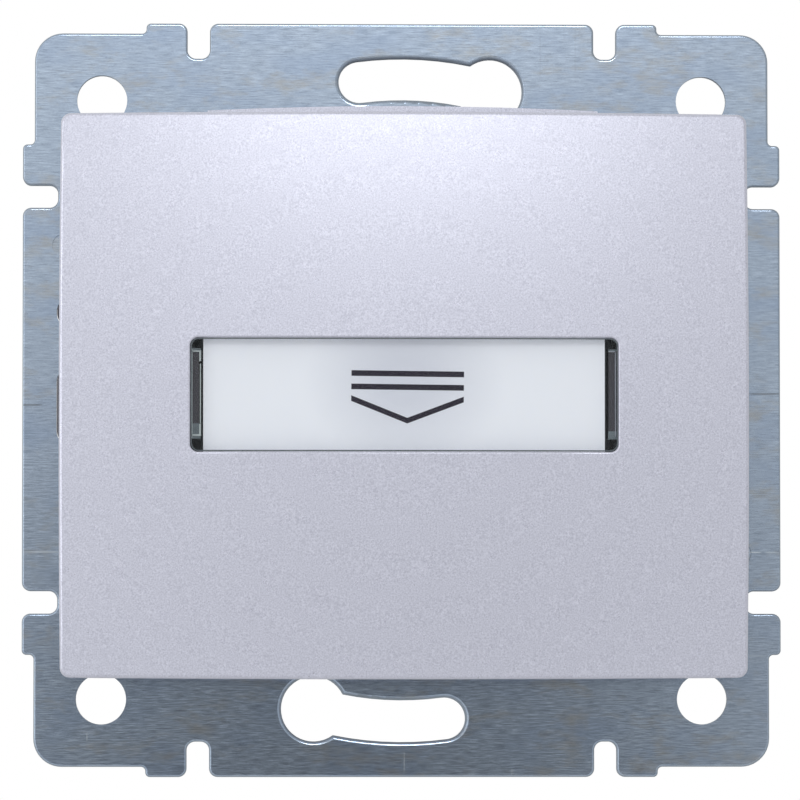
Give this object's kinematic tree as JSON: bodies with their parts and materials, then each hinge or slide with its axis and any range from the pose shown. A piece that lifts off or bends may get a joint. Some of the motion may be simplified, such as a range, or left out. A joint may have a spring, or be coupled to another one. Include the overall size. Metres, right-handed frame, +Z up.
{
  "type": "hotel key card switch",
  "caption": "Flush wall switch that a hotel key card operates: steel frame, pearl cover with a card slot and a lit window, and a body with terminals.",
  "frame": {"origin": "centre of the mounting frame's rear face, which lies on the wall", "axes": "+X to the right seen from the room, +Y into the wall, +Z up"},
  "size_m": [0.071, 0.035, 0.0706],
  "materials": {
    "galvanised_steel": "satin",
    "black_plastic": "matte",
    "pearl_lacquer": "satin",
    "clear_plastic": "gloss",
    "opal_plastic": "satin",
    "lamp_glass": "gloss",
    "tinned_metal": "satin",
    "resistor_lacquer": "gloss",
    "white_plastic": "satin",
    "spring_steel": "satin",
    "silver": "satin",
    "brass": "satin",
    "zinc_steel": "satin"
  },
  "bodies": {
    "root": {"mounting_frame": "galvanised_steel", "rear_housing": "black_plastic", "front_housing": "black_plastic", "front_cover": "pearl_lacquer", "window_lens": "clear_plastic", "legend_plate": "opal_plastic", "lamp_window": "clear_plastic", "neon_lamp": "lamp_glass", "lamp_caps": "tinned_metal", "lamp_lead_left": "tinned_metal", "lamp_lead_right": "tinned_metal", "lamp_resistor": "resistor_lacquer", "lever_pin": "spring_steel", "fixed_rivets": "silver", "return_spring": "spring_steel", "lamp_strip": "brass", "neutral_strip": "brass", "line_strip": "brass", "load_strip": "brass", "housing_screws": "zinc_steel"},
    "lever": {"card_lever": "white_plastic"},
    "plunger": {"switch_plunger": "white_plastic", "moving_contact": "brass", "moving_rivets": "silver", "contact_spring": "spring_steel"},
    "screw_1": {"terminal_screw_1": "zinc_steel"},
    "cage_1": {"clamp_cage_1": "zinc_steel"},
    "screw_2": {"terminal_screw_2": "zinc_steel"},
    "cage_2": {"clamp_cage_2": "zinc_steel"},
    "screw_3": {"terminal_screw_3": "zinc_steel"},
    "cage_3": {"clamp_cage_3": "zinc_steel"},
    "screw_4": {"terminal_screw_4": "zinc_steel"},
    "cage_4": {"clamp_cage_4": "zinc_steel"}
  },
  "joints": [
    {"name": "lever_turn", "type": "hinge", "parent": "root", "child": "lever", "pos_m": [0, 0.003, -0.009], "axis": [1, 0, 0], "range_deg": [0, 16]},
    {"name": "plunger_slide", "type": "slide", "parent": "root", "child": "plunger", "axis": [0, 1, 0], "range_m": [0, 0.00192], "stiffness_N_per_m": 200, "springref_m": -0.00137, "deforming": ["return_spring"]},
    {"name": "screw_1_turn", "type": "hinge", "parent": "root", "child": "screw_1", "pos_m": [-0.0145, 0.01747, 0], "axis": [0, 0, -1], "range_deg": [0, 1800]},
    {"name": "cage_1_rise", "type": "slide", "parent": "root", "child": "cage_1", "axis": [0, 0, 1], "range_m": [0, 0.0025]},
    {"name": "screw_2_turn", "type": "hinge", "parent": "root", "child": "screw_2", "pos_m": [0.0145, 0.01747, 0], "axis": [0, 0, -1], "range_deg": [0, 1800]},
    {"name": "cage_2_rise", "type": "slide", "parent": "root", "child": "cage_2", "axis": [0, 0, 1], "range_m": [0, 0.0025]},
    {"name": "screw_3_turn", "type": "hinge", "parent": "root", "child": "screw_3", "pos_m": [-0.0145, 0.01747, 0], "axis": [0, 0, 1], "range_deg": [0, 1800]},
    {"name": "cage_3_rise", "type": "slide", "parent": "root", "child": "cage_3", "axis": [0, 0, -1], "range_m": [0, 0.0025]},
    {"name": "screw_4_turn", "type": "hinge", "parent": "root", "child": "screw_4", "pos_m": [0.0145, 0.01747, 0], "axis": [0, 0, 1], "range_deg": [0, 1800]},
    {"name": "cage_4_rise", "type": "slide", "parent": "root", "child": "cage_4", "axis": [0, 0, -1], "range_m": [0, 0.0025]}
  ],
  "couplings": [
    {"joint": "lever_turn", "follows": "plunger_slide", "rad_per_m": 145.6},
    {"joint": "screw_1_turn", "follows": "cage_1_rise", "rad_per_m": 12566},
    {"joint": "screw_2_turn", "follows": "cage_2_rise", "rad_per_m": 12566},
    {"joint": "screw_3_turn", "follows": "cage_3_rise", "rad_per_m": 12566},
    {"joint": "screw_4_turn", "follows": "cage_4_rise", "rad_per_m": 12566}
  ]
}
